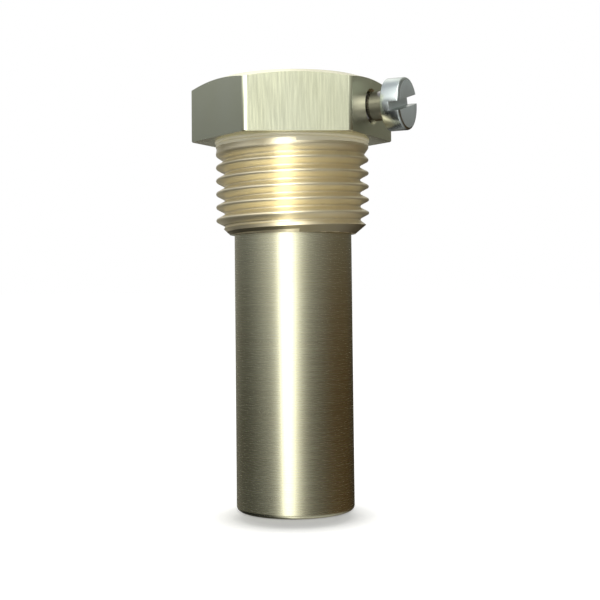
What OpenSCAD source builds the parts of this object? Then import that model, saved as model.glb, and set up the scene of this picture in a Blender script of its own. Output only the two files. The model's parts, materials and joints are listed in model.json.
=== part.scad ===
// Brass thermowell with a clamp screw for the sensor.
// Turned from hexagon bar in one piece: hexagon, collar, pipe thread and a
// closed tube, with one long blind bore for the sensor. A slotted cheese head
// screw in a cross hole through one flat of the hexagon clamps the sensor.
// The axis is Z. The origin is on the axis, in the plane of the hexagon's
// underside, which seats on the pipe fitting. The clamp screw points along X.

/* [Hexagon] */
// Width across the flats
hex_af = 24; // [22.5:0.5:32]
// Height of the hexagon
hex_h = 8.3; // [7:0.1:10]
// Rounding of the bar's six edges
hex_edge_r = 0.6; // [0.2:0.1:1]
// How far the flat ring on top lies inside the flats
top_ring_inset = 2; // [0.2:0.1:2.5]
// Slope of the top chamfer
top_chamfer_deg = 18; // [12:1:30]
// How far the underside's turned circle lies inside the bar's corners
base_corner_inset = 0.25; // [0.2:0.05:1.5]
// Slope of the chamfer round the underside
base_chamfer_deg = 30; // [15:1:40]

/* [Collar] */
// Diameter of the plain collar under the hexagon
collar_d = 21.2; // [21.1:0.1:22]
// Height of the collar
collar_h = 0.8; // [0.4:0.1:2]

/* [Pipe thread] */
// Major diameter
thread_d = 20.955; // [19:0.005:21]
// Pitch
thread_pitch = 1.814; // [1:0.001:2.2]
// Angle between the flanks
thread_angle = 55; // [50:1:65]
// Length from the hexagon's underside to the end of the threaded part
thread_len = 12.75; // [9:0.25:18]
// Length over which the groove runs out towards the collar
runout_len = 2.2; // [0.5:0.1:3]
// Width of the lead chamfer, measured across the radius
lead_chamfer = 1.9; // [1.2:0.1:2.2]
// Slope of the lead chamfer, measured from the end face
lead_chamfer_deg = 40; // [30:1:50]
// Turn of the thread about the axis
thread_turn_deg = 112; // [0:1:360]

/* [Tube] */
// Outside diameter of the tube
tube_d = 16; // [14:0.5:16.5]
// Insertion length, from the hexagon's underside to the closed tip
tube_len = 50; // [35:1:160]
// Edge break round the closed tip
tip_edge = 0.6; // [0.1:0.1:1]

/* [Sensor bore] */
// Diameter of the blind bore
bore_d = 12; // [7:0.5:13]
// Material left under the drill point
tip_wall = 2; // [1:0.25:5]
// Angle of the drill point
drill_point_deg = 118; // [90:1:140]
// Chamfer round the mouth
mouth_chamfer = 0.6; // [0.2:0.1:1.5]

/* [Clamp screw] */
// Height of the screw above the middle of the hexagon
screw_rise = -0.15; // [-0.3:0.05:0.3]
// Thread diameter
screw_d = 4; // [3:0.5:4]
// Length under the head
screw_len = 8; // [7.5:0.5:12]
// Head diameter
head_d = 7; // [5.5:0.1:7]
// Head height
head_h = 2.6; // [1.8:0.1:3.5]
// Edge break round the head's face
head_edge = 0.35; // [0.1:0.05:0.6]
// Width of the slot
slot_w = 1.2; // [0.8:0.1:1.6]
// Depth of the slot
slot_depth = 1.4; // [0.6:0.1:1.5]
// Turn of the slot about the screw
slot_turn_deg = 15; // [0:1:180]
// How far the slot lies above the middle of the head
slot_offset = 0.2; // [0:0.05:0.3]
// Gap between the flat and the underside of the head
head_gap = 2.5; // [0.5:0.1:4]
// Chamfer on the screw's point
point_chamfer = 0.6; // [0.2:0.1:1]
// Radial clearance between the screw and its hole
screw_clearance = 0.05; // [0.02:0.01:0.1]
// Countersink round the screw's hole, measured across the radius
hole_chamfer = 0.35; // [0.1:0.05:0.8]

/* [Hidden] */
$fn = 96;

// How far a cutting tool runs past the face that it cuts
overrun = 1;

flat_x = hex_af / 2;
corner_r = flat_x / cos(30);
// Flat steps round each rounded edge of the bar
edge_steps = 5;
top_ring_r = flat_x - top_ring_inset;
base_ring_r = corner_r - base_corner_inset;

// Thread form: a rounded V of the given angle, cut to two thirds of its height
thread_r = thread_d / 2;
sharp_h = thread_pitch / 2 / tan(thread_angle / 2);
thread_depth = sharp_h * 2 / 3;
round_r = sharp_h / 6 / (1 / sin(thread_angle / 2) - 1);
round_w = round_r * cos(thread_angle / 2);
round_h = round_r * (1 - sin(thread_angle / 2));
half_pitch = thread_pitch / 2;
// One pitch from root to root: height above the crest, depth below it
thread_form = [
    [half_pitch, thread_depth],
    [half_pitch - round_w, thread_depth - round_h],
    [round_w, round_h],
    [0, 0],
    [-round_w, round_h],
    [round_w - half_pitch, thread_depth - round_h]
];
columns = 48;
thread_top = -collar_h / 2;
thread_end = -thread_len;
thread_end_r = thread_r - lead_chamfer;
// Rows closer than this to an end face are drawn in it
snap = 0.02;
spare_turns = 2;
turns = ceil((thread_top - thread_end) / thread_pitch) + 2 * spare_turns;
form_rows = len(thread_form);
rows = turns * form_rows;

bore_r = bore_d / 2;
point_h = bore_r / tan(drill_point_deg / 2);
bore_floor = -tube_len + tip_wall;

hole_r = screw_d / 2 + screw_clearance;
screw_z = hex_h / 2 + screw_rise;
head_x = flat_x + head_gap;

// Share of the full groove depth that is cut at height z
function groove_share(z) = max(0, min(1, (-z - collar_h) / runout_len));

// Radius of the lead chamfer at height z
function lead_r(z) = thread_end_r + (z - thread_end) / tan(lead_chamfer_deg);

// Height of one row of the thread in a column
function row_z(column, row) =
    let (
        turn = floor(row / form_rows),
        rise = thread_pitch * (column / columns - turn + spare_turns)
    )
    thread_top + rise + thread_form[row % form_rows][0];

function above_top(column, row) = row_z(column, row) > thread_top - snap;
function below_end(column, row) = row_z(column, row) < thread_end + snap;

// Point of the thread's surface
function thread_point(column, row) =
    let (
        z = above_top(column, row) ? thread_top
            : below_end(column, row) ? thread_end
            : row_z(column, row),
        cut = thread_form[row % form_rows][1] * groove_share(z),
        r = min(thread_r - cut, lead_r(z)),
        angle = thread_turn_deg + 360 * column / columns
    )
    [r * cos(angle), r * sin(angle), z];

// Number of a point, with one shared number for all rows in an end face.
// The column after the last one is the first, one pitch higher.
function point_id(column, row) =
    column == columns ? point_id(0, max(0, row - form_rows))
    : above_top(column, row) ? column * rows
    : below_end(column, row) ? (column + 1) * rows - 1
    : column * rows + row;

function is_face(f) = f[0] != f[1] && f[1] != f[2] && f[2] != f[0];

// Solid threaded plug, closed by a flat fan at each end
module threaded_plug() {
    points = [
        for (column = [0:columns - 1], row = [0:rows - 1])
            thread_point(column, row)
    ];
    top_centre = len(points);
    end_centre = top_centre + 1;
    sides = [
        for (column = [0:columns - 1], row = [0:rows - 2])
            let (
                a = point_id(column, row),
                b = point_id(column + 1, row),
                c = point_id(column + 1, row + 1),
                d = point_id(column, row + 1)
            )
            each [[a, b, c], [a, c, d]]
    ];
    ends = [
        for (column = [0:columns - 1])
            let (next = (column + 1) % columns)
            each [
                [top_centre, next * rows, column * rows],
                [end_centre, (column + 1) * rows - 1, (next + 1) * rows - 1]
            ]
    ];
    polyhedron(
        points = concat(points, [[0, 0, thread_top], [0, 0, thread_end]]),
        faces = concat([for (f = sides) if (is_face(f)) f], ends),
        convexity = 10
    );
}

// Hexagon with rounded corners and a flat square to X
module bar_section() {
    centre_r = (flat_x - hex_edge_r) / cos(30);
    polygon([
        for (corner = [0:5], step = [0:edge_steps])
            let (
                bisector = 60 * corner + 30,
                angle = bisector - 30 + 60 * step / edge_steps
            )
            centre_r * [cos(bisector), sin(bisector)]
                + hex_edge_r * [cos(angle), sin(angle)]
    ]);
}

// Length of bar, chamfered on top and lightly turned round the underside
module hexagon() {
    top_drop = (corner_r - top_ring_r) * tan(top_chamfer_deg);
    base_rise = base_corner_inset * tan(base_chamfer_deg);
    intersection() {
        linear_extrude(hex_h) bar_section();
        rotate_extrude() polygon([
            [0, 0],
            [base_ring_r, 0],
            [corner_r, base_rise],
            [corner_r, hex_h - top_drop],
            [top_ring_r, hex_h],
            [0, hex_h]
        ]);
    }
}

// Closed tube below the thread, with a broken edge round its tip
module closed_tube() {
    tube_r = tube_d / 2;
    rotate_extrude() polygon([
        [0, -tube_len],
        [tube_r - tip_edge, -tube_len],
        [tube_r - tip_edge * (1 - sin(45)), -tube_len + tip_edge * (1 - cos(45))],
        [tube_r, -tube_len + tip_edge],
        [tube_r, thread_top],
        [0, thread_top]
    ]);
}

// Blind bore with a drill point and a chamfered mouth
module sensor_bore() {
    mouth_r = bore_r + mouth_chamfer;
    rotate_extrude() polygon([
        [0, bore_floor],
        [bore_r, bore_floor + point_h],
        [bore_r, hex_h - mouth_chamfer],
        [mouth_r, hex_h],
        [mouth_r, hex_h + overrun],
        [0, hex_h + overrun]
    ]);
}

// Lays a shape drawn along Z on the clamp screw's axis
module on_screw_axis() {
    translate([0, 0, screw_z]) rotate([0, 90, 0]) children();
}

// Hole from the flat into the bore, with a countersink at the flat
module screw_hole() {
    on_screw_axis() {
        cylinder(h = flat_x + overrun, r = hole_r);
        translate([0, 0, flat_x - hole_chamfer])
            cylinder(
                h = hole_chamfer + overrun,
                r1 = hole_r,
                r2 = hole_r + hole_chamfer + overrun
            );
    }
}

module well_body() {
    color("#cdbd8c") difference() {
        union() {
            hexagon();
            translate([0, 0, -collar_h]) cylinder(h = collar_h + hex_h / 2, d = collar_d);
            threaded_plug();
            closed_tube();
        }
        sensor_bore();
        screw_hole();
    }
}

module clamp_screw() {
    shank_r = screw_d / 2;
    head_r = head_d / 2;
    color("#a9b0ae") difference() {
        on_screw_axis() translate([0, 0, head_x]) rotate_extrude() polygon([
            [0, -screw_len],
            [shank_r - point_chamfer, -screw_len],
            [shank_r, point_chamfer - screw_len],
            [shank_r, 0],
            [head_r, 0],
            [head_r, head_h - head_edge],
            [head_r - head_edge * (1 - cos(45)), head_h - head_edge * (1 - sin(45))],
            [head_r - head_edge, head_h],
            [0, head_h]
        ]);
        on_screw_axis() rotate([0, 0, 90 + slot_turn_deg])
            translate([-head_d, slot_offset - slot_w / 2, head_x + head_h - slot_depth])
                cube([2 * head_d, slot_w, slot_depth + overrun]);
    }
}

well_body();
clamp_screw();
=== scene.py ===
"""Brass thermowell with its clamp screw, dressed and set in a small studio.

The well is turned from hexagon bar in one piece: hexagon, collar, pipe thread and a
closed tube with a long blind bore. A slotted cheese head screw goes through one flat.
Pieces are modelled in millimetres, as on the drawing, and brought to metres when done.
"""

import json
import logging
import math
from collections.abc import Callable, Iterator
from contextlib import contextmanager
from dataclasses import dataclass, field, replace
from enum import Enum

import bmesh
import bpy
from mathutils import Matrix, Vector

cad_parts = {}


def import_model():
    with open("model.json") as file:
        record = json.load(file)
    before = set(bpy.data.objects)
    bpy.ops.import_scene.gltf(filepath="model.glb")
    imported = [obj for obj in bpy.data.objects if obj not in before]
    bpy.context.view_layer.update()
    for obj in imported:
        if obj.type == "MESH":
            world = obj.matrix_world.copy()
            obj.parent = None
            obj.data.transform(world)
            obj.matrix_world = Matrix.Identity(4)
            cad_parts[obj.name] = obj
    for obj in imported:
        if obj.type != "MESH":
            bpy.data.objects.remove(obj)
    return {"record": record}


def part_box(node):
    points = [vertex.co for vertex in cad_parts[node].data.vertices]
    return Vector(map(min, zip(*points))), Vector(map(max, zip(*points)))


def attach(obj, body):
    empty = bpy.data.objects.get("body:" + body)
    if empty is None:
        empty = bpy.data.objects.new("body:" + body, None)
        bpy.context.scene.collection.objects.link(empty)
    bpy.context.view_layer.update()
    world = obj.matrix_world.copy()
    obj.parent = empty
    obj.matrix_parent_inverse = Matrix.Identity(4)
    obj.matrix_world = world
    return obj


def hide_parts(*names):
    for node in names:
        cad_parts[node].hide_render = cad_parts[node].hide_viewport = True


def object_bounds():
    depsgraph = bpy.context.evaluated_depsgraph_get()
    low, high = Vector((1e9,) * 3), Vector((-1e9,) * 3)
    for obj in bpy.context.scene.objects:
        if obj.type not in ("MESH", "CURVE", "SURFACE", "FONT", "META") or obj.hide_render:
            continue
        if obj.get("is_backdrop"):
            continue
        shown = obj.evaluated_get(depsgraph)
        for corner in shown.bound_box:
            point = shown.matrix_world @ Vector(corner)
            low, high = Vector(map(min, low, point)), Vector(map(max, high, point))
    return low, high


LOG = logging.getLogger("thermowell")
MM = 0.001
# Points closer than this are one, in millimetres
WELD = 1e-4

# How far a cutting tool runs past the face that it cuts, in millimetres
OVERRUN = 1
# Half the turn from one flat of the hexagon to the next
HALF_SECTOR = math.radians(30)
# Turns the spread of a lathe's grooves from round the axis to along it
QUARTER_TURN = 0.25
# Faces nearer to a border than this, in millimetres, count as on it
NEAR = 0.01
# A face is square to an axis from this share of its normal on
SQUARE = 0.99
# A face keeps to a slope if its normal's rise is off by less than this
LEAN = 0.06
# Range that most of a noise texture's values keep to
NOISE_RANGE = (0.3, 0.7)

Piece = bpy.types.Object
Socket = bpy.types.NodeSocket
Outline = list[tuple[float, float]]
Colour = tuple[float, float, float]
# Stops of a ramp, each a place and a colour; a plain number is a grey
Stops = list[tuple[float, float | Colour]]
# What can feed a shader's socket: another socket, a number or a colour
Source = Socket | float | tuple[float, ...]


class Joining(Enum):
    """How one solid is combined with another."""

    UNION = "UNION"
    CUT = "DIFFERENCE"
    KEEP_COMMON = "INTERSECT"


class Zone(Enum):
    """Surfaces of the well that are finished by different work, some with lighter or darker copies
    of the brass as painted light and shade.
    """

    TURNED = 0
    DRAWN_FLAT = 1
    CUT_THREAD = 2
    BORED = 3
    COLLAR = 4
    LEAD = 5
    SCREW_FLAT = 6


class ScrewZone(Enum):
    """Surfaces of the clamp screw with their own finishes; the end face and the shank get lighter
    and darker copies of the steel as painted light and shade.
    """

    PLATED = 0
    FACED = 1
    SHANK = 2


# Workshop: modelling steps shared by the pieces


def deselect_all() -> None:
    """Leaves object mode and clears the selection, the CAD nodes included."""
    if bpy.context.object and bpy.context.object.mode != "OBJECT":
        bpy.ops.object.mode_set(mode="OBJECT")
    bpy.ops.object.select_all(action="DESELECT")


def make_active(piece: Piece) -> None:
    """Selects one piece alone and makes it the active object.

    Args:
        piece: the object to work on.
    """
    deselect_all()
    piece.select_set(True)
    bpy.context.view_layer.objects.active = piece


@contextmanager
def editing(piece: Piece) -> Iterator[None]:
    """Puts a piece in edit mode for the length of a with block.

    Args:
        piece: the mesh object to edit, left in object mode at the end.
    """
    make_active(piece)
    bpy.ops.object.mode_set(mode="EDIT")
    yield
    bpy.ops.object.mode_set(mode="OBJECT")


def weld_and_face_out() -> None:
    """Merges doubled points of the mesh in edit mode and turns its faces outwards."""
    bpy.ops.mesh.select_all(action="SELECT")
    bpy.ops.mesh.remove_doubles(threshold=WELD)
    bpy.ops.mesh.normals_make_consistent(inside=False)


def apply(piece: Piece, modifier: bpy.types.Modifier) -> None:
    """Works a modifier into the mesh of its piece."""
    make_active(piece)
    bpy.ops.object.modifier_apply(modifier=modifier.name)


def drawn_line(name: str, outline: Outline) -> Piece:
    """Draws an open line in the XZ plane by extruding one point along an outline.

    Args:
        name: name of the new object.
        outline: radius and height of each point, in millimetres.

    Returns:
        The new object, which holds the line alone.
    """
    deselect_all()
    bpy.ops.mesh.primitive_plane_add(size=1)
    piece = bpy.context.object
    piece.name = name
    with editing(piece):
        bpy.ops.mesh.select_all(action="SELECT")
        bpy.ops.mesh.merge(type="CENTER")
        last_r, last_z = outline[0]
        bpy.ops.transform.translate(value=(last_r, 0, last_z))
        for r, z in outline[1:]:
            step = (r - last_r, 0, z - last_z)
            bpy.ops.mesh.extrude_region_move(TRANSFORM_OT_translate={"value": step})
            last_r, last_z = r, z
    return piece


def turned(name: str, outline: Outline, steps: int) -> Piece:
    """Turns a solid about Z from an outline that starts and ends on the axis.

    Args:
        name: name of the new object.
        outline: radius and height of each point, in millimetres.
        steps: number of steps round the axis.

    Returns:
        The closed solid.
    """
    piece = drawn_line(name, outline)
    with editing(piece):
        bpy.ops.mesh.select_all(action="SELECT")
        bpy.ops.mesh.spin(steps=steps, angle=math.tau, center=(0, 0, 0), axis=(0, 0, 1))
        weld_and_face_out()
    return piece


def arc(
    centre: tuple[float, float], radius: float, start: float, end: float, steps: int
) -> Outline:
    """Gives the points of a round stretch of an outline.

    Args:
        centre: radius and height of the arc's centre.
        radius: radius of the arc.
        start: first angle in degrees, counted from outwards to upwards.
        end: last angle in degrees.
        steps: number of steps between the two.

    Returns:
        The arc's points, both ends included.
    """
    middle_r, middle_z = centre
    angles = [math.radians(start + (end - start) * k / steps) for k in range(steps + 1)]
    return [(middle_r + radius * math.cos(a), middle_z + radius * math.sin(a)) for a in angles]


def combine(piece: Piece, tool: Piece, joining: Joining) -> None:
    """Joins a tool solid to a piece and uses the tool up.

    Args:
        piece: the solid that is changed.
        tool: the solid that is added, cut away or intersected.
        joining: which of the three is done.
    """
    modifier = piece.modifiers.new(joining.name.lower(), "BOOLEAN")
    modifier.operation = joining.value
    modifier.solver = "EXACT"
    modifier.object = tool
    apply(piece, modifier)
    bpy.data.objects.remove(tool, do_unlink=True)
    with editing(piece):
        bpy.ops.mesh.select_all(action="SELECT")
        bpy.ops.mesh.remove_doubles(threshold=WELD)
        bpy.ops.mesh.dissolve_degenerate(threshold=WELD)


def soften_edges(piece: Piece, width: float, angle: float) -> None:
    """Breaks a piece's sharp edges with a small rounded bevel.

    Args:
        piece: the solid whose edges are broken.
        width: width of the bevel, in millimetres.
        angle: smallest angle between faces, in degrees, at which an edge counts as sharp.
    """
    modifier = piece.modifiers.new("edge_break", "BEVEL")
    modifier.width = width
    modifier.segments = 3
    modifier.limit_method = "ANGLE"
    modifier.angle_limit = math.radians(angle)
    modifier.miter_outer = "MITER_ARC"
    apply(piece, modifier)


def reshape(piece: Piece, radius_at: Callable[[float, float], float]) -> None:
    """Moves every point of a piece in or out from the Z axis by a rule.

    Args:
        piece: the mesh object whose points are moved.
        radius_at: gives a point's new radius from its radius and height.
    """
    for vertex in piece.data.vertices:
        radius = math.hypot(vertex.co.x, vertex.co.y)
        factor = radius_at(radius, vertex.co.z) / radius
        vertex.co.x *= factor
        vertex.co.y *= factor


def along_x(height: float) -> Matrix:
    """Gives the move, with Z turned to X, that lays a turned shape on the screw's axis."""
    return Matrix.Translation((0, 0, height)) @ Matrix.Rotation(math.pi / 2, 4, "Y")


def finished(piece: Piece, smooth_angle: float) -> None:
    """Brings a piece from millimetres to metres and smooths its shading.

    Args:
        piece: the object, which stays at the origin, unturned and unscaled.
        smooth_angle: edges sharper than this, in degrees, stay sharp.
    """
    piece.data.transform(Matrix.Scale(MM, 4))
    piece.data.update()
    make_active(piece)
    bpy.ops.object.shade_smooth_by_angle(angle=math.radians(smooth_angle))


@dataclass(frozen=True)
class RoundedThread:
    """A right-hand screw thread with rounded crests and roots.

    Attributes:
        radius: crest radius.
        pitch: height of one turn.
        flank_angle: angle between the flanks, in degrees.
        top: height of the plug's upper end.
        bottom: height of the plug's lower end.
        full_from: height above which no groove is cut.
        runout: length over which the groove reaches its full depth.
        end_radius: radius at the lower end, where the lead chamfer ends.
        end_slope: slope of the lead chamfer in degrees.
        turn: angle in degrees of the direction in which a root starts at the top.
        steps: steps round one turn.
    """

    radius: float
    pitch: float
    flank_angle: float
    top: float
    bottom: float
    full_from: float
    runout: float
    end_radius: float
    end_slope: float
    turn: float
    steps: int

    @property
    def sharp_height(self) -> float:
        """Height of the thread's V if it came to a point."""
        return self.pitch / 2 / math.tan(math.radians(self.flank_angle / 2))

    @property
    def depth(self) -> float:
        """Depth from crest to root, two thirds of the sharp V."""
        return self.sharp_height * 2 / 3

    def one_pitch(self) -> Outline:
        """Gives one pitch of the thread from a root down to the next one.

        Returns:
            The points, with the crest at height 0.
        """
        half = math.radians(self.flank_angle / 2)
        rounding = self.sharp_height / 6 / (1 / math.sin(half) - 1)
        crest = (self.radius - rounding, 0.0)
        root = self.radius - self.depth + rounding
        tangent = 90 - self.flank_angle / 2
        upper_root = arc((root, self.pitch / 2), rounding, 180, 180 + tangent, steps=3)
        over_crest = arc(crest, rounding, tangent, -tangent, steps=6)
        lower_root = arc((root, -self.pitch / 2), rounding, 180 - tangent, 180, steps=3)
        return upper_root + over_crest + lower_root

    def shaped_radius(self, radius: float, height: float) -> float:
        """Fades the groove into the run-out and trims the thread to its lead chamfer.

        Args:
            radius: radius of a point on the full thread.
            height: height of the point.

        Returns:
            The point's radius on the finished thread.
        """
        share = min(1.0, max(0.0, (self.full_from - height) / self.runout))
        lead = self.end_radius + (height - self.bottom) / math.tan(math.radians(self.end_slope))
        return min(self.radius - (self.radius - radius) * share, max(lead, self.end_radius))

    def plug(self, name: str) -> Piece:
        """Models the thread as a solid plug with flat ends.

        Args:
            name: name of the new object.

        Returns:
            The plug, with its axis on Z.
        """
        spare_turns = 2
        turns = math.ceil((self.top - self.bottom) / self.pitch) + 2 * spare_turns
        start = self.top - self.pitch * (turns - spare_turns)
        line = drawn_line(name, [(r, z + start) for r, z in self.one_pitch()])
        screw = line.modifiers.new("helix", "SCREW")
        screw.axis = "Z"
        screw.angle = math.tau
        screw.screw_offset = self.pitch
        screw.iterations = turns
        screw.steps = self.steps
        screw.render_steps = self.steps
        screw.use_merge_vertices = False
        apply(line, screw)
        line.data.transform(Matrix.Rotation(math.radians(self.turn), 4, "Z"))
        reshape(line, self.shaped_radius)
        with editing(line):
            weld_and_face_out()
            for height, up in ((self.top, 1), (self.bottom, -1)):
                bpy.ops.mesh.select_all(action="SELECT")
                bpy.ops.mesh.bisect(
                    plane_co=(0, 0, height), plane_no=(0, 0, up), use_fill=True, clear_outer=True
                )
            weld_and_face_out()
        return line


# Finishes, some of them lighter or darker copies as painted light and shade


class Shader:
    """Builds one node material, from a few named steps."""

    def __init__(self, name: str) -> None:
        """Makes an empty material with a Principled surface.

        Args:
            name: name of the material.
        """
        self.material = bpy.data.materials.new(name)
        self.material.use_nodes = True
        self.tree = self.material.node_tree
        self.surface = self.tree.nodes["Principled BSDF"]
        place = self.add("ShaderNodeTexCoord").outputs["Object"]
        scale = self.add("ShaderNodeVectorMath", operation="SCALE")
        self.tree.links.new(place, scale.inputs[0])
        scale.inputs["Scale"].default_value = 1 / MM
        self.millimetres = scale.outputs[0]

    def add(self, kind: str, **options: object) -> bpy.types.Node:
        """Adds a node and sets its options.

        Args:
            kind: type name of the node.
            options: node properties by name.

        Returns:
            The new node.
        """
        node = self.tree.nodes.new(kind)
        for key, value in options.items():
            setattr(node, key, value)
        return node

    def feed(self, socket: Socket, value: Source) -> None:
        """Links a socket to another socket, or sets it to a plain value.

        Args:
            socket: the input that is fed.
            value: what feeds it.
        """
        if isinstance(value, Socket):
            self.tree.links.new(value, socket)
        else:
            socket.default_value = value

    def compute(self, operation: str, *values: Source) -> Socket:
        """Adds a Math node.

        Args:
            operation: name of the operation.
            values: sockets or numbers for its inputs.

        Returns:
            The node's output.
        """
        node = self.add("ShaderNodeMath", operation=operation)
        for socket, value in zip(node.inputs, values):
            self.feed(socket, value)
        return node.outputs[0]

    def stretched(self, scale: tuple[float, float, float]) -> Socket:
        """Gives the place in millimetres, scaled apart along each axis.

        Args:
            scale: factor along X, Y and Z.

        Returns:
            The scaled place.
        """
        node = self.add("ShaderNodeMapping")
        self.feed(node.inputs["Vector"], self.millimetres)
        node.inputs["Scale"].default_value = scale
        return node.outputs[0]

    def noise(self, scale: tuple[float, float, float], detail: float) -> Socket:
        """Gives noise from 0 to 1 with its own fineness along each axis.

        Args:
            scale: waves for each millimetre along X, Y and Z.
            detail: number of finer layers.

        Returns:
            The noise value.
        """
        node = self.add("ShaderNodeTexNoise")
        self.feed(node.inputs["Vector"], self.stretched(scale))
        node.inputs["Scale"].default_value = 1.0
        node.inputs["Detail"].default_value = detail
        return node.outputs["Fac"]

    def spread(self, value: Source, low: float, high: float) -> Socket:
        """Stretches the values of a noise over a range.

        Args:
            value: socket with the noise.
            low: result at the noise's low end.
            high: result at its high end.

        Returns:
            The stretched value.
        """
        node = self.add("ShaderNodeMapRange")
        self.feed(node.inputs["Value"], value)
        node.inputs["From Min"].default_value, node.inputs["From Max"].default_value = NOISE_RANGE
        node.inputs["To Min"].default_value = low
        node.inputs["To Max"].default_value = high
        return node.outputs["Result"]

    def blend(self, factor: Source, low: Source, high: Source) -> Socket:
        """Mixes two colours by a factor.

        Args:
            factor: socket with the factor.
            low: colour at 0, as a colour or a socket.
            high: colour at 1, as a colour or a socket.

        Returns:
            The mixed colour.
        """
        node = self.add("ShaderNodeMix", data_type="RGBA")
        self.feed(node.inputs[0], factor)
        for socket, colour in ((node.inputs[6], low), (node.inputs[7], high)):
            self.feed(socket, (*colour, 1) if isinstance(colour, tuple) else colour)
        return node.outputs[2]

    def ramp(self, factor: Source, stops: Stops) -> Socket:
        """Looks a colour up in a ramp.

        Args:
            factor: socket with the place in the ramp, from 0 to 1.
            stops: the ramp's stops, from left to right.

        Returns:
            The colour.
        """
        node = self.add("ShaderNodeValToRGB")
        self.feed(node.inputs[0], factor)
        elements = node.color_ramp.elements
        for index, (place, colour) in enumerate(stops):
            stop = elements[index] if index < 2 else elements.new(place)
            stop.position = place
            stop.color = (*(colour if isinstance(colour, tuple) else (colour,) * 3), 1)
        return node.outputs["Color"]

    def mixed(self, blend: str, first: Source, second: Source) -> Socket:
        """Combines two colours in full by a blend mode, without clamping.

        Args:
            blend: name of the blend mode.
            first: the colour that is changed.
            second: the colour that changes it.

        Returns:
            The combined colour.
        """
        node = self.add("ShaderNodeMix", data_type="RGBA", blend_type=blend)
        node.inputs[0].default_value = 1.0
        self.feed(node.inputs[6], first)
        self.feed(node.inputs[7], second)
        return node.outputs[2]

    def bump(self, height: Source, depth: float) -> None:
        """Gives the surface relief.

        Args:
            height: socket with the relief's height from 0 to 1.
            depth: depth of the relief in millimetres.
        """
        node = self.add("ShaderNodeBump")
        node.inputs["Strength"].default_value = 1.0
        node.inputs["Distance"].default_value = depth * MM
        self.feed(node.inputs["Height"], height)
        self.feed(self.surface.inputs["Normal"], node.outputs["Normal"])


@dataclass(frozen=True)
class MetalFinish:
    """A worked metal surface with fine marks that run one way.

    Attributes:
        name: name of the material.
        colour: colour of the clean metal.
        shade: colour of the slightly dulled metal.
        roughness: lowest and highest roughness.
        marks: fineness of the tool marks along X, Y and Z, in waves for each millimetre.
        mark_depth: depth of the tool marks in millimetres.
        patches: fineness of the dulled patches along X, Y and Z.
        mirror_share: share of the light that is mirrored; a matt surface scatters the rest.
        lathe_grain: how much more the turning grooves spread light along Z than round it.
    """

    name: str
    colour: Colour
    shade: Colour
    roughness: tuple[float, float]
    marks: tuple[float, float, float]
    mark_depth: float
    patches: tuple[float, float, float] = (0.15, 0.15, 0.08)
    mirror_share: float = 1.0
    lathe_grain: float = 0.0

    def material(self) -> bpy.types.Material:
        """Builds the finish as a node material.

        Returns:
            The material.
        """
        shader = Shader(self.name)
        shader.surface.inputs["Metallic"].default_value = self.mirror_share
        if self.lathe_grain:
            tangent = shader.add("ShaderNodeTangent", direction_type="RADIAL", axis="Z")
            shader.feed(shader.surface.inputs["Tangent"], tangent.outputs[0])
            shader.surface.inputs["Anisotropic"].default_value = self.lathe_grain
            shader.surface.inputs["Anisotropic Rotation"].default_value = QUARTER_TURN
        marks = shader.noise(self.marks, detail=4)
        tint = shader.spread(shader.noise(self.patches, detail=3), 0, 1)
        colour = shader.blend(tint, self.colour, self.shade)
        rough = shader.spread(marks, *self.roughness)
        shader.feed(shader.surface.inputs["Base Color"], colour)
        shader.feed(shader.surface.inputs["Roughness"], rough)
        shader.bump(marks, self.mark_depth)
        return shader.material


TURNED_BRASS = MetalFinish(
    name="turned_brass",
    colour=(0.79, 0.78, 0.56),
    shade=(0.74, 0.71, 0.49),
    roughness=(0.25, 0.29),
    marks=(0.04, 0.04, 6.0),
    mark_depth=0.0003,
)
DRAWN_BRASS = MetalFinish(
    name="drawn_brass",
    colour=(0.78, 0.80, 0.59),
    shade=(0.75, 0.765, 0.54),
    roughness=(0.15, 0.22),
    marks=(5.0, 5.0, 0.25),
    mark_depth=0.0006,
)
# A rougher copy of the drawn brass for the screw's flat, made a little darker as painted shade
SCREW_FLAT_PAINTED_SHADE_BRASS = replace(
    DRAWN_BRASS,
    name="rubbed_brass",
    colour=(0.76, 0.78, 0.58),
    shade=(0.72, 0.735, 0.52),
    roughness=(0.30, 0.38),
)
# Painted light: a lighter, warmer copy of the brass on the thread, standing in for the light that
# its grooves gather
THREAD_PAINTED_LIGHT_BRASS = MetalFinish(
    name="thread_brass",
    colour=(1.0, 0.905, 0.64),
    shade=(0.98, 0.87, 0.57),
    roughness=(0.3, 0.38),
    marks=(0.1, 0.1, 7.0),
    mark_depth=0.0015,
    mirror_share=0.78,
    lathe_grain=0.8,
)
# Painted light: a lighter, mostly scattering copy of the brass that makes the collar band pale
COLLAR_PAINTED_LIGHT_BRASS = MetalFinish(
    name="collar_brass",
    colour=(1.0, 0.95, 0.74),
    shade=(1.0, 0.92, 0.67),
    roughness=(0.34, 0.4),
    marks=(0.05, 0.05, 6.0),
    mark_depth=0.001,
    mirror_share=0.12,
    lathe_grain=0.8,
)
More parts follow.
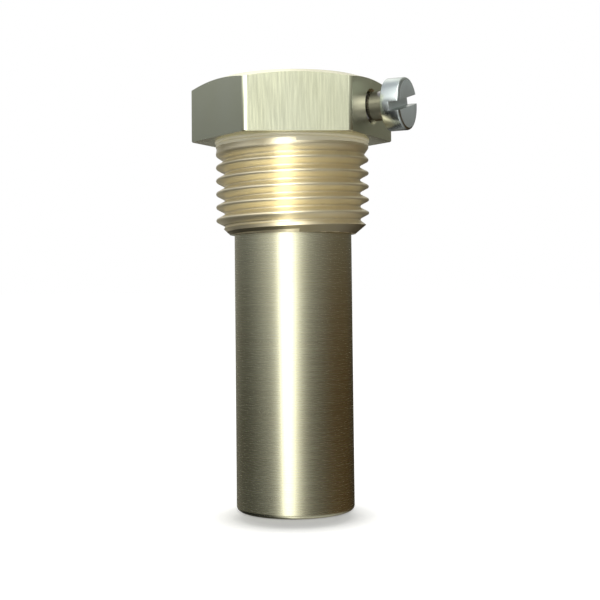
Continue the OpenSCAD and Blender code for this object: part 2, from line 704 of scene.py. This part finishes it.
# Painted shade: a much darker copy of the brass on the lead chamfer, standing in for the dark that
# it mirrors
LEAD_PAINTED_SHADE_BRASS = MetalFinish(
    name="lead_brass",
    colour=(0.46, 0.40, 0.26),
    shade=(0.38, 0.33, 0.20),
    roughness=(0.3, 0.4),
    marks=(0.1, 0.1, 7.0),
    mark_depth=0.002,
    mirror_share=0.9,
)
BORED_BRASS = MetalFinish(
    name="bored_brass",
    colour=(0.62, 0.53, 0.33),
    shade=(0.48, 0.40, 0.24),
    roughness=(0.36, 0.50),
    marks=(0.1, 0.1, 5.0),
    mark_depth=0.006,
)
PLATED_STEEL = MetalFinish(
    name="plated_steel",
    colour=(0.52, 0.56, 0.54),
    shade=(0.45, 0.50, 0.48),
    roughness=(0.2, 0.28),
    marks=(1.5, 1.5, 1.5),
    mark_depth=0.001,
    patches=(0.5, 0.5, 0.5),
)
# Painted shade: a much darker, browner copy of the plated steel on the screw's neck and thread
SHANK_PAINTED_SHADE_STEEL = replace(
    PLATED_STEEL,
    name="shank_steel",
    colour=(0.33, 0.315, 0.30),
    shade=(0.27, 0.255, 0.24),
    roughness=(0.14, 0.22),
)
# Painted light: a lighter, partly scattering copy of the plated steel on the head's end face
END_FACE_PAINTED_LIGHT_STEEL = replace(
    PLATED_STEEL,
    name="faced_steel",
    colour=(0.74, 0.81, 0.80),
    shade=(0.68, 0.75, 0.74),
    roughness=(0.34, 0.42),
    mirror_share=0.75,
)

WELL_FINISHES = {
    Zone.TURNED: TURNED_BRASS,
    Zone.DRAWN_FLAT: DRAWN_BRASS,
    Zone.CUT_THREAD: THREAD_PAINTED_LIGHT_BRASS,
    Zone.BORED: BORED_BRASS,
    Zone.COLLAR: COLLAR_PAINTED_LIGHT_BRASS,
    Zone.LEAD: LEAD_PAINTED_SHADE_BRASS,
    Zone.SCREW_FLAT: SCREW_FLAT_PAINTED_SHADE_BRASS,
}
SCREW_FINISHES = {
    ScrewZone.PLATED: PLATED_STEEL,
    ScrewZone.FACED: END_FACE_PAINTED_LIGHT_STEEL,
    ScrewZone.SHANK: SHANK_PAINTED_SHADE_STEEL,
}


def dress(
    piece: Piece, finishes: dict[Enum, MetalFinish], zone_of: Callable[[Vector, Vector], Enum]
) -> None:
    """Gives each zone of a piece its own finish.

    Args:
        piece: the piece, in millimetres.
        finishes: the finish of every zone, in the order of the zones' numbers.
        zone_of: tells a face's zone from its centre and normal.
    """
    mesh = piece.data
    mesh.materials.clear()
    for finish in finishes.values():
        mesh.materials.append(finish.material())
    for face in mesh.polygons:
        face.material_index = zone_of(face.center, face.normal).value


# Pieces


@dataclass
class Well:
    """The turned body: hexagon, collar, thread, closed tube and bore.

    Lengths are in millimetres and angles in degrees.

    Attributes:
        lowest: lowest corner of the CAD body.
        highest: highest corner of the CAD body.
        mounts: radius and length of each round mount, by name.
        screw_axis_z: height of the cross hole.
        hole_r: radius of the cross hole.
        edge_r: rounding of the bar's six edges.
        top_ring_inset: how far the flat ring on top lies inside the flats.
        top_slope: slope of the top chamfer.
        base_corner_inset: how far the underside's turned circle lies inside the corners.
        base_slope: slope of the chamfer round the underside.
        edge_break: rounding where the chamfers meet the flats.
        collar_r: radius of the plain collar.
        collar_h: height of the collar.
        collar_chamfer: chamfer under the collar.
        pitch: pitch of the pipe thread.
        flank_angle: angle between the thread's flanks.
        thread_len: length from the hexagon's underside to the end of the thread.
        runout: length over which the groove reaches its full depth.
        lead_chamfer: width of the lead chamfer across the radius.
        lead_slope: slope of the lead chamfer from the end face.
        thread_turn: turn of the thread about the axis.
        tip_edge: rounding round the closed tip.
        tip_wall: metal left under the drill point.
        mouth_chamfer: chamfer round the bore's mouth.
        drill_point: angle of the drill point.
        hole_chamfer: countersink of the cross hole.
        worn_flat: direction of the flat that is rubbed along one edge.
        worn_lean: how far the rubbed strip leans out of that flat.
        worn_width: width of the rubbed strip on that flat.
        steps: steps round the axis.
        least_flat: least area, in square millimetres, of a face that is shaded flat.
        piece: the finished body.
    """

    lowest: Vector
    highest: Vector
    mounts: dict[str, tuple[float, float]]
    screw_axis_z: float
    hole_r: float = 2.05
    edge_r: float = 0.6
    top_ring_inset: float = 2.0
    top_slope: float = 18
    base_corner_inset: float = 0.25
    base_slope: float = 30
    edge_break: float = 0.07
    collar_r: float = 10.6
    collar_h: float = 0.8
    collar_chamfer: float = 0.65
    pitch: float = 1.814
    flank_angle: float = 55
    thread_len: float = 12.75
    runout: float = 2.2
    lead_chamfer: float = 1.9
    lead_slope: float = 40
    thread_turn: float = 112
    tip_edge: float = 0.6
    tip_wall: float = 2.0
    mouth_chamfer: float = 0.6
    drill_point: float = 118
    hole_chamfer: float = 0.35
    worn_flat: float = -60
    worn_lean: float = 8
    worn_width: float = 0.5
    steps: int = 144
    least_flat: float = 2.0
    piece: Piece = field(init=False)

    @property
    def flat_x(self) -> float:
        """Distance from the axis to a flat of the hexagon."""
        return self.highest.x

    @property
    def corner_r(self) -> float:
        """Distance from the axis to a sharp corner of the hexagon."""
        return self.flat_x / math.cos(HALF_SECTOR)

    def hexagon(self) -> Piece:
        """Models the hexagon: rounded edges, chamfered top, lightly turned underside.

        Returns:
            The chamfered length of bar.
        """
        height = self.highest.z
        deselect_all()
        bpy.ops.mesh.primitive_cylinder_add(
            vertices=6, radius=self.corner_r, depth=height, location=(0, 0, height / 2)
        )
        piece = bpy.context.object
        piece.name = "hexagon"
        bpy.ops.object.transform_apply(location=True, rotation=True, scale=True)
        with editing(piece):
            bpy.ops.mesh.select_mode(type="EDGE")
            bpy.ops.mesh.select_all(action="DESELECT")
            mesh = bmesh.from_edit_mesh(piece.data)
            for edge in mesh.edges:
                upright = abs(edge.verts[0].co.z - edge.verts[1].co.z) > height / 2
                edge.select_set(upright)
            bmesh.update_edit_mesh(piece.data)
            width = self.edge_r * math.tan(HALF_SECTOR)
            bpy.ops.mesh.bevel(offset=width, segments=6, affect="EDGES", offset_type="OFFSET")
            bpy.ops.mesh.select_mode(type="VERT")
        self.wear_edge(piece)
        combine(piece, self.chamfer_envelope(height), Joining.KEEP_COMMON)
        soften_edges(piece, self.edge_break, angle=16)
        return piece

    def wear_edge(self, piece: Piece) -> None:
        """Flattens one upright edge of the bar a little, where a spanner has rubbed it.

        Args:
            piece: the hexagon bar.
        """
        flat = math.radians(self.worn_flat)
        leaning = flat - math.radians(self.worn_lean)
        along = self.flat_x * math.tan(HALF_SECTOR) - self.worn_width
        edge = Vector((math.cos(flat), math.sin(flat), 0)) * self.flat_x
        edge += Vector((math.sin(flat), -math.cos(flat), 0)) * along
        with editing(piece):
            bpy.ops.mesh.select_all(action="SELECT")
            bpy.ops.mesh.bisect(
                plane_co=edge,
                plane_no=(math.cos(leaning), math.sin(leaning), 0),
                use_fill=True,
                clear_outer=True,
            )
            weld_and_face_out()

    def chamfer_envelope(self, height: float) -> Piece:
        """Turns the round shape that the bar's ends are chamfered to.

        Args:
            height: height of the hexagon.

        Returns:
            The solid to intersect with the bar.
        """
        ring = self.flat_x - self.top_ring_inset
        base_ring = self.corner_r - self.base_corner_inset
        reach = self.corner_r + OVERRUN
        drop = (reach - ring) * math.tan(math.radians(self.top_slope))
        rise = (reach - base_ring) * math.tan(math.radians(self.base_slope))
        outline = [
            (0, 0),
            (base_ring, 0),
            (reach, rise),
            (reach, height - drop),
            (ring, height),
            (0, height),
        ]
        return turned("chamfer_envelope", outline, self.steps)

    def core(self) -> Piece:
        """Turns the collar and the closed tube, joined inside the thread.

        Returns:
            The solid core.
        """
        tube_r = self.mounts["immersion_tube"][0]
        tip = self.lowest.z
        inside_top = self.highest.z / 2
        tip_centre = (tube_r - self.tip_edge, tip + self.tip_edge)
        outline = [
            (0, inside_top),
            (self.collar_r, inside_top),
            (self.collar_r, self.collar_chamfer - self.collar_h),
            (self.collar_r - self.collar_chamfer, -self.collar_h),
            (tube_r, -self.collar_h),
            *arc(tip_centre, self.tip_edge, 0, -90, steps=6),
            (0, tip),
        ]
        return turned("core", outline, self.steps)

    def thread(self) -> RoundedThread:
        """Gives the pipe thread between the collar and the tube.

        Returns:
            The thread's sizes.
        """
        radius = self.mounts["process_thread"][0]
        return RoundedThread(
            radius=radius,
            pitch=self.pitch,
            flank_angle=self.flank_angle,
            top=-self.collar_h / 2,
            bottom=-self.thread_len,
            full_from=-self.collar_h,
            runout=self.runout,
            end_radius=radius - self.lead_chamfer,
            end_slope=self.lead_slope,
            turn=self.thread_turn,
            steps=self.steps,
        )

    def bore_tool(self) -> Piece:
        """Turns the drill and mouth chamfer that cut the sensor bore.

        Returns:
            The solid to cut away.
        """
        bore_r, length = self.mounts["sensor_bore"]
        top = self.highest.z
        shoulder = top - self.mouth_chamfer - length
        point = shoulder - bore_r / math.tan(math.radians(self.drill_point / 2))
        mouth_r = bore_r + self.mouth_chamfer
        above = top + OVERRUN
        outline = [
            (0, point),
            (bore_r, shoulder),
            (bore_r, top - self.mouth_chamfer),
            (mouth_r, top),
            (mouth_r, above),
            (0, above),
        ]
        return turned("bore_tool", outline, self.steps)

    def hole_tool(self) -> Piece:
        """Turns the drill and countersink that cut the cross hole, laid along X.

        Returns:
            The solid to cut away.
        """
        wide = self.hole_r + self.hole_chamfer
        outside = self.flat_x + OVERRUN
        outline = [
            (0, 0),
            (self.hole_r, 0),
            (self.hole_r, self.flat_x - self.hole_chamfer),
            (wide, self.flat_x),
            (wide + OVERRUN, outside),
            (0, outside),
        ]
        tool = turned("hole_tool", outline, steps=64)
        tool.data.transform(along_x(self.screw_axis_z))
        return tool

    def build(self) -> None:
        """Models the body as one closed mesh and puts it in place of the CAD node."""
        self.piece = self.hexagon()
        combine(self.piece, self.core(), Joining.UNION)
        combine(self.piece, self.thread().plug("thread_plug"), Joining.UNION)
        combine(self.piece, self.bore_tool(), Joining.CUT)
        combine(self.piece, self.hole_tool(), Joining.CUT)
        self.piece.name = "turned_well"
        dress(self.piece, WELL_FINISHES, self.zone_of)
        flats = [face.index for face in self.piece.data.polygons if self.is_flat(face)]
        finished(self.piece, smooth_angle=25)
        for index in flats:
            self.piece.data.polygons[index].use_smooth = False
        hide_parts("well_body")
        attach(self.piece, "well")

    def zone_of(self, centre: Vector, normal: Vector) -> Zone:
        """Tells how the surface at a point is made.

        Args:
            centre: a face's centre in millimetres.
            normal: the face's normal.

        Returns:
            The zone that the face belongs to.
        """
        radius = math.hypot(centre.x, centre.y)
        if radius < self.mounts["sensor_bore"][0] + NEAR:
            above_tip = centre.z > self.lowest.z + self.tip_wall / 2
            return Zone.BORED if above_tip else Zone.TURNED
        if centre.z > NEAR:
            if radius < self.flat_x - 2 * NEAR or abs(normal.z) > LEAN:
                return Zone.TURNED
            return Zone.SCREW_FLAT if normal.x > SQUARE else Zone.DRAWN_FLAT
        slope = math.radians(self.lead_slope)
        lead_top = self.lead_chamfer * math.tan(slope) - self.thread_len
        if centre.z < lead_top and abs(normal.z + math.cos(slope)) < LEAN:
            return Zone.LEAD
        if -self.thread_len + NEAR < centre.z < -self.collar_h - NEAR:
            return Zone.CUT_THREAD
        return Zone.COLLAR if -self.collar_h - NEAR < centre.z < -NEAR else Zone.TURNED

    def is_flat(self, face: bpy.types.MeshPolygon) -> bool:
        """Tells whether a face, still in millimetres, is one of the large plane ones.

        Args:
            face: a face of the body.

        Returns:
            Whether the face is shaded flat.
        """
        if face.area < self.least_flat:
            return False
        zone = self.zone_of(face.center, face.normal)
        return abs(face.normal.z) > SQUARE or zone in (Zone.DRAWN_FLAT, Zone.SCREW_FLAT)


@dataclass
class ClampScrew:
    """The slotted cheese head screw: plain neck under the head, then a cut thread.

    Lengths are in millimetres and angles in degrees.

    Attributes:
        lowest: lowest corner of the CAD screw.
        highest: highest corner of the CAD screw.
        length: length under the head.
        pitch: pitch of the thread.
        flank_angle: angle between the thread's flanks.
        runout: length over which the groove reaches its full depth.
        major_r: crest radius of the thread.
        neck: length of the plain neck.
        neck_r: radius of the neck, a little over the crests.
        neck_overlap: how far the thread's plug reaches into the neck.
        head_edge: rounding round the head's face.
        under_edge: rounding round the head's underside.
        slot_width: width of the slot.
        slot_depth: depth of the slot.
        slot_turn: turn of the slot about the screw.
        slot_offset: how far the slot lies off the middle of the head.
        slot_edge: rounding of the slot's and the head's sharp edges.
        point_chamfer: width of the point's chamfer across the radius.
        point_slope: slope of the point's chamfer.
        steps: steps round the head.
        thread_steps: steps round the thread.
        piece: the finished screw.
    """

    lowest: Vector
    highest: Vector
    length: float = 8.0
    pitch: float = 0.7
    flank_angle: float = 60
    runout: float = 0.5
    major_r: float = 1.98
    neck: float = 2.45
    neck_r: float = 1.99
    neck_overlap: float = 0.3
    head_edge: float = 0.35
    under_edge: float = 0.1
    slot_width: float = 1.2
    slot_depth: float = 1.4
    slot_turn: float = 15
    slot_offset: float = 0.2
    slot_edge: float = 0.05
    point_chamfer: float = 0.6
    point_slope: float = 45
    steps: int = 96
    thread_steps: int = 64
    piece: Piece = field(init=False)

    @property
    def head_r(self) -> float:
        """Radius of the head."""
        return (self.highest.y - self.lowest.y) / 2

    @property
    def axis_z(self) -> float:
        """Height of the screw's axis."""
        return (self.highest.z + self.lowest.z) / 2

    @property
    def seat_x(self) -> float:
        """Place of the head's underside along X."""
        return self.lowest.x + self.length

    @property
    def head_h(self) -> float:
        """Height of the head."""
        return self.highest.x - self.seat_x

    def thread(self) -> RoundedThread:
        """Gives the thread from the neck to the point.

        Returns:
            The thread's sizes.
        """
        return RoundedThread(
            radius=self.major_r,
            pitch=self.pitch,
            flank_angle=self.flank_angle,
            top=self.neck_overlap - self.neck,
            bottom=-self.length,
            full_from=-self.neck,
            runout=self.runout,
            end_radius=self.major_r - self.point_chamfer,
            end_slope=self.point_slope,
            turn=0,
            steps=self.thread_steps,
        )

    def head(self) -> Piece:
        """Turns the cheese head with its rounded edges and the neck.

        Returns:
            The head, with its underside at height 0.
        """
        height = self.head_h
        edge_centre = (self.head_r - self.head_edge, height - self.head_edge)
        under_centre = (self.head_r - self.under_edge, self.under_edge)
        outline = [
            (0, -self.neck),
            (self.neck_r, -self.neck),
            (self.neck_r, 0),
            *arc(under_centre, self.under_edge, -90, 0, steps=2),
            *arc(edge_centre, self.head_edge, 0, 90, steps=5),
            (0, height),
        ]
        return turned("clamp_screw_dressed", outline, self.steps)

    def cut_slot(self) -> None:
        """Saws the slot across the head at its angle."""
        blade = (4 * self.head_r, self.slot_width, self.slot_depth + OVERRUN)
        middle = self.head_h - self.slot_depth + blade[2] / 2
        deselect_all()
        bpy.ops.mesh.primitive_cube_add(size=1, location=(0, self.slot_offset, middle))
        tool = bpy.context.object
        tool.scale = blade
        bpy.ops.object.transform_apply(location=True, rotation=True, scale=True)
        tool.data.transform(Matrix.Rotation(math.radians(90 + self.slot_turn), 4, "Z"))
        combine(self.piece, tool, Joining.CUT)

    def build(self) -> None:
        """Models the screw and puts it in place of the CAD node."""
        self.piece = self.head()
        self.cut_slot()
        soften_edges(self.piece, self.slot_edge, angle=30)
        combine(self.piece, self.thread().plug("screw_plug"), Joining.UNION)
        self.piece.data.transform(Matrix.Translation((self.seat_x, 0, 0)) @ along_x(self.axis_z))
        dress(self.piece, SCREW_FINISHES, self.zone_of)
        finished(self.piece, smooth_angle=30)
        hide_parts("clamp_screw")
        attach(self.piece, "screw")

    def zone_of(self, centre: Vector, normal: Vector) -> ScrewZone:
        """Tells how the surface at a point is finished.

        Args:
            centre: a face's centre in millimetres.
            normal: the face's normal.

        Returns:
            The zone that the face belongs to.
        """
        if centre.x < self.seat_x - NEAR:
            return ScrewZone.SHANK
        return ScrewZone.FACED if normal.x > SQUARE else ScrewZone.PLATED


# Studio

# Painted shadow on the floor's colour and glow, by distance from its darkest point as a share of
# its reach
PAINTED_CONTACT_SHADOW: Stops = [
    (0.3, 0.43), (0.48, 0.44), (0.58, 0.5), (0.68, 0.68), (0.78, 0.82), (0.96, 1),
]
FLOOR_COLOUR = (0.82, 0.82, 0.81, 1)


@dataclass(frozen=True)
class Panel:
    """A bright or dark panel of the tent, with soft borders.

    Attributes:
        across: its light or cover by direction, in degrees to the right of the camera's side.
        up: share of it by height, in degrees above level.
    """

    across: Stops
    up: Stops


# Walls by height, and their tints low down and high up by direction
WALL_LEVELS: Stops = [
    (-90, 0.24), (-60, 0.2), (-42, 0.12), (-28, 0.035), (-13, 0.024), (-8, 0.031), (0, 0.058),
    (8, 0.112), (20, 0.24), (45, 0.34), (90, 0.36),
]
WALL_TINTS: Stops = [
    (-180, (3.2, 3.2, 3)), (-166, (3, 2.9, 2.6)), (-144, (2.6, 2.5, 2.3)),
    (-122, (1.45, 1.4, 1.25)), (-100, (1.25, 1.22, 1.1)), (-70, (1.2, 1.18, 1.08)), (-30, 1),
    (45, (1.1, 0.95, 0.75)), (80, (1.35, 0.88, 0.44)), (125, (1.2, 0.76, 0.34)),
    (150, (0.7, 0.55, 0.36)), (170, (0.7, 0.6, 0.5)), (175, (3, 3, 2.8)), (180, (3.2, 3.2, 3)),
]
HIGH_TINTS: Stops = [
    (-180, (2, 2, 1.9)), (-150, (1.4, 1.42, 1.45)), (-130, (1.05, 1.08, 1.15)),
    (-60, (1.05, 1.08, 1.15)), (0, 1), (60, 1), (100, (0.68, 0.68, 0.62)),
    (145, (0.64, 0.65, 0.6)), (160, (1, 1, 0.95)), (180, (1.4, 1.4, 1.3)),
]
# Share by height of the high tints, and of the untinted light under the part
HIGH_SHARE: Stops = [(-9, 0), (-0.5, 0.55), (6, 1)]
DEEP_SHARE: Stops = [(-45, 1), (-25, 0)]
# Lit panels
KEY_CORE = Panel(
    across=[(-27.5, 0), (-22, 1), (-7, 1), (-1, 0.4), (6, 0.16), (16, 0.03), (24, 0)],
    up=[
        (-68, 1), (-58, 0.1), (-32, 0.1), (-21, 1), (1, 1), (4, 0.75), (8, 0.35), (20, 0.5),
        (60, 0.5),
    ],
)
KEY_SHOULDERS = Panel(
    across=[
        (-105, 0), (-84, 0.03), (-65, 0.1), (-50, 0.17), (-38, 0.28), (-29, 0.5), (-24, 0.6),
        (-4, 0.6), (3, 0.45), (10, 0.33), (17, 0.21), (27, 0.11), (38, 0.055), (60, 0.015),
        (80, 0),
    ],
    up=[
        (-60, 0.2), (-20, 0.4), (-10, 0.56), (-4, 0.85), (2, 1), (13, 0.95), (20, 2.8),
        (30, 2.8), (45, 1.7),
    ],
)
SIDE_LAMP = Panel(
    across=[(-100, 0), (-78, 0.12), (-50, 0.12), (-38, 0)],
    up=[(10, 0), (18, 1), (55, 1), (70, 0)],
)
REAR_PANEL = Panel(
    across=[(-180, 0.18), (-160, 0.15), (-150, 0), (150, 0), (160, 0.15), (180, 0.18)],
    up=[(14, 0), (24, 0.8), (60, 0.6), (80, 0)],
)
# Dark cards
FRONT_CARD = Panel(
    across=[(-4, 0), (1, 0.6), (6, 0.6), (9, 0.46), (14, 0.3), (20, 0)],
    up=[(3, 0), (6, 1), (14, 1), (17, 0)],
)
LOW_CARD = Panel(
    across=[(-180, 0.6), (-165, 0.95), (-50, 0.95), (-36, 0)],
    up=[(-90, 0.4), (-72, 1), (-30, 1), (-20, 0)],
)
HIGH_CARD = Panel(
    across=[(20, 0), (44, 0.5), (105, 0.6), (125, 0)],
    up=[(20, 0), (32, 1), (70, 1), (85, 0)],
)


class TentShader(Shader):
    """Paints the inside of the tent by direction from its middle."""

    def __init__(self, name: str, facing: float, radius: float) -> None:
        """Works out where in the ramps each point of the tent lies.

        Args:
            name: name of the material.
            facing: direction of the camera in degrees, from -Y towards +X.
            radius: radius of the tent in metres.
        """
        super().__init__(name)
        turn = self.add("ShaderNodeVectorRotate", rotation_type="Z_AXIS")
        self.feed(turn.inputs["Vector"], self.millimetres)
        turn.inputs["Angle"].default_value = -math.radians(facing)
        parts = self.add("ShaderNodeSeparateXYZ")
        self.feed(parts.inputs[0], turn.outputs[0])
        x, y, z = parts.outputs
        side = self.compute("ARCTAN2", x, self.compute("MULTIPLY", y, -1.0))
        rise = self.compute("ARCSINE", self.compute("DIVIDE", z, radius / MM))
        self.side_share = self.compute("MULTIPLY_ADD", side, 1 / math.tau, 0.5)
        self.rise_share = self.compute("MULTIPLY_ADD", rise, 1 / math.pi, 0.5)

    def around(self, stops: Stops) -> Socket:
        """Gives a colour by direction round the part, from stops in degrees."""
        return self.ramp(self.side_share, [(place / 360 + 0.5, tint) for place, tint in stops])

    def upwards(self, stops: Stops) -> Socket:
        """Gives a colour by height, from stops in degrees."""
        return self.ramp(self.rise_share, [(place / 180 + 0.5, tint) for place, tint in stops])

    def panel(self, panel: Panel) -> Socket:
        """Gives the light, or the cover, of one panel."""
        return self.mixed("MULTIPLY", self.around(panel.across), self.upwards(panel.up))

    def plus(self, light: Source, panel: Panel) -> Socket:
        """Adds a lit panel to the light."""
        return self.mixed("ADD", light, self.panel(panel))

    def behind(self, light: Source, card: Panel) -> Socket:
        """Gives the light that is left behind a dark card."""
        return self.mixed("MULTIPLY", light, self.mixed("SUBTRACT", (1, 1, 1, 1), self.panel(card)))

    def shine(self, light: Source, strength: float) -> None:
        """Replaces the surface by a plain glow.

        Args:
            light: colour of the glow.
            strength: its strength.
        """
        glow = self.add("ShaderNodeEmission")
        self.feed(glow.inputs["Color"], light)
        glow.inputs["Strength"].default_value = strength
        output = next(node for node in self.tree.nodes if node.type == "OUTPUT_MATERIAL")
        self.feed(output.inputs["Surface"], glow.outputs[0])
        self.tree.nodes.remove(self.surface)
        self.material.cycles.emission_sampling = "NONE"


@dataclass
class Studio:
    """Floor, white surround, reflection tent, lamp and camera.

    Lengths are in metres and angles in degrees, unless told otherwise.

    Attributes:
        floor_z: height of the surface that the part stands on.
        camera_azimuth: direction of the camera, from -Y towards +X.
        camera_distance: distance of the camera from the axis.
        camera_height: height of the camera.
        camera_pitch: how far the camera looks up.
        camera_roll: how far the camera leans.
        lens: focal length in millimetres.
        sensor: width of the camera's sensor in millimetres.
        shift: shift of the lens, as a share of the picture's width.
        lamp_place: where the soft lamp hangs.
        lamp_size: length of the lamp's side.
        lamp_power: the lamp's power in watts.
        tent_radius: radius of the reflection tent.
        tent_strength: strength of the tent's glow.
        painted_shadow_shift: how far before the axis the floor's painted shadow is darkest, in
            millimetres.
        painted_shadow_reach: distance at which the floor's painted shadow ends, in millimetres.
    """

    floor_z: float
    camera_azimuth: float = 26.53
    camera_distance: float = 0.1617
    camera_height: float = -0.02013
    camera_pitch: float = 2.58
    camera_roll: float = 0.6
    lens: float = 70.79
    sensor: float = 36.0
    shift: tuple[float, float] = (0.0117, -0.1078)
    lamp_place: tuple[float, float, float] = (0.05, 0.1, 0.9)
    lamp_size: float = 0.8
    lamp_power: float = 2.0
    tent_radius: float = 0.6
    tent_strength: float = 2.0
    painted_shadow_shift: float = 5.8
    painted_shadow_reach: float = 12.0

    def in_front(self, distance: float, height: float) -> Vector:
        """Gives a place on the camera's side of the axis."""
        azimuth = math.radians(self.camera_azimuth)
        return Vector((distance * math.sin(azimuth), -distance * math.cos(azimuth), height))

    def camera(self) -> None:
        """Sets the camera level with the middle of the part, close in front."""
        data = bpy.data.cameras.new("camera")
        data.lens = self.lens
        data.sensor_width = self.sensor
        data.shift_x, data.shift_y = self.shift
        data.clip_start = 0.01
        data.clip_end = 20
        camera = bpy.data.objects.new("camera", data)
        camera.location = self.in_front(self.camera_distance, self.camera_height)
        tilt = Matrix.Rotation(math.radians(90 + self.camera_pitch), 3, "X")
        roll = Matrix.Rotation(math.radians(-self.camera_roll), 3, "Z")
        turn = Matrix.Rotation(math.radians(self.camera_azimuth), 3, "Z")
        camera.rotation_euler = (turn @ tilt @ roll).to_euler()
        bpy.context.scene.collection.objects.link(camera)
        bpy.context.scene.camera = camera

    def world(self) -> None:
        """Makes the surround white where it is seen and soft grey as light."""
        world = bpy.data.worlds.new("surround")
        world.use_nodes = True
        bpy.context.scene.world = world
        tree = world.node_tree
        sky = tree.nodes["Background"]
        sky.inputs["Color"].default_value = (1, 1, 1, 1)
        tree.links.new(seen_ray(tree, seen=1.0, unseen=0.5), sky.inputs["Strength"])

    def floor(self) -> None:
        """Lays a wide white floor with the part's soft shadow, partly cast under the lamp and the
        world and partly a painted shadow in its colour and glow.
        """
        deselect_all()
        bpy.ops.mesh.primitive_plane_add(size=16, location=(0, 0, self.floor_z))
        floor = bpy.context.object
        floor.name = "floor"
        shader = Shader("white_floor")
        # Painted shadow: the floor's colour and glow darken by a ramp of distance from a point just
        # in front of the part
        away = shader.add("ShaderNodeVectorMath", operation="DISTANCE")
        shader.feed(away.inputs[0], shader.millimetres)
        away.inputs[1].default_value = self.in_front(self.painted_shadow_shift, 0)
        reach = shader.compute("DIVIDE", away.outputs["Value"], self.painted_shadow_reach)
        shade = shader.ramp(reach, PAINTED_CONTACT_SHADOW)
        glow = seen_ray(shader.tree, seen=0.6, unseen=0.0)
        surface = shader.surface
        shader.feed(surface.inputs["Base Color"], shader.mixed("MULTIPLY", shade, FLOOR_COLOUR))
        surface.inputs["Roughness"].default_value = 0.9
        surface.inputs["Specular IOR Level"].default_value = 0.0
        shader.feed(surface.inputs["Emission Color"], shade)
        shader.feed(surface.inputs["Emission Strength"], glow)
        floor.data.materials.append(shader.material)
        floor.visible_glossy = False
        floor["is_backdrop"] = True

    def lamp(self) -> None:
        """Hangs a large soft lamp over the part for its shadow."""
        data = bpy.data.lights.new("overhead_lamp", "AREA")
        data.size = self.lamp_size
        data.energy = self.lamp_power
        lamp = bpy.data.objects.new("overhead_lamp", data)
        lamp.location = self.lamp_place
        lamp.rotation_euler = (-Vector(self.lamp_place)).to_track_quat("-Z", "Y").to_euler()
        lamp.visible_glossy = False
        bpy.context.scene.collection.objects.link(lamp)

    def tent(self) -> None:
        """Hangs the tent whose bright and dark panels the metal mirrors."""
        deselect_all()
        bpy.ops.mesh.primitive_uv_sphere_add(segments=96, ring_count=48, radius=self.tent_radius)
        tent = bpy.context.object
        tent.name = "reflection_tent"
        with editing(tent):
            bpy.ops.mesh.select_all(action="SELECT")
            bpy.ops.mesh.flip_normals()
        tent.data.materials.append(self.tent_material())
        for ray in ("visible_camera", "visible_diffuse", "visible_transmission", "visible_shadow"):
            setattr(tent, ray, False)
        tent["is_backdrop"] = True

    def tent_material(self) -> bpy.types.Material:
        """Paints the tent: walls that darken downwards, lit panels and dark cards.

        Returns:
            The glowing material.
        """
        tent = TentShader("tent_panels", self.camera_azimuth, self.tent_radius)
        low, high = tent.around(WALL_TINTS), tent.around(HIGH_TINTS)
        tint = tent.blend(tent.upwards(HIGH_SHARE), low, high)
        tint = tent.blend(tent.upwards(DEEP_SHARE), tint, (1, 1, 1))
        walls = tent.mixed("MULTIPLY", tent.upwards(WALL_LEVELS), tint)
        key = tent.behind(tent.plus(tent.panel(KEY_CORE), KEY_SHOULDERS), FRONT_CARD)
        light = tent.mixed("ADD", tent.plus(walls, REAR_PANEL), key)
        for card in (LOW_CARD, HIGH_CARD):
            light = tent.behind(light, card)
        tent.shine(tent.plus(light, SIDE_LAMP), self.tent_strength)
        return tent.material

    def build(self) -> None:
        """Sets up the whole studio."""
        bpy.context.scene.view_settings.view_transform = "Standard"
        self.camera()
        self.world()
        self.floor()
        self.lamp()
        self.tent()


def seen_ray(tree: bpy.types.NodeTree, seen: float, unseen: float) -> Socket:
    """Gives one value to rays that show a surface and another to light rays.

    Args:
        tree: node tree to build in.
        seen: value for camera, glossy and transmission rays.
        unseen: value for all other rays.

    Returns:
        The socket with the value.
    """
    path = tree.nodes.new("ShaderNodeLightPath")
    glossy = tree.nodes.new("ShaderNodeMath")
    glossy.operation = "MAXIMUM"
    tree.links.new(path.outputs["Is Camera Ray"], glossy.inputs[0])
    tree.links.new(path.outputs["Is Glossy Ray"], glossy.inputs[1])
    shown = tree.nodes.new("ShaderNodeMath")
    shown.operation = "MAXIMUM"
    tree.links.new(glossy.outputs[0], shown.inputs[0])
    tree.links.new(path.outputs["Is Transmission Ray"], shown.inputs[1])
    value = tree.nodes.new("ShaderNodeMapRange")
    tree.links.new(shown.outputs[0], value.inputs["Value"])
    value.inputs["To Min"].default_value = unseen
    value.inputs["To Max"].default_value = seen
    return value.outputs["Result"]


def report(piece: Piece) -> None:
    """Logs a finished piece's name, number of faces and size."""
    size = [round(length / MM, 2) for length in piece.dimensions]
    LOG.info("%s: %d faces, %s mm", piece.name, len(piece.data.polygons), size)


def main() -> None:
    """Builds the pieces round the frame, then the studio."""
    logging.basicConfig(level=logging.INFO, format="%(message)s")
    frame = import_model()
    cad_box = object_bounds()
    mounts = {
        mount["name"]: (mount["dims"]["r_mm"], mount["dims"]["length_mm"])
        for mount in frame["record"]["mounts"]
        if "r_mm" in mount["dims"]
    }
    well_box = [corner / MM for corner in map(Vector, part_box("well_body"))]
    screw_box = [corner / MM for corner in map(Vector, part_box("clamp_screw"))]
    screw = ClampScrew(*screw_box)
    well = Well(*well_box, mounts, screw_axis_z=screw.axis_z)
    for part in (well, screw):
        part.build()
        report(part.piece)
    Studio(floor_z=cad_box[0].z).build()


if __name__ == "__main__":
    main()
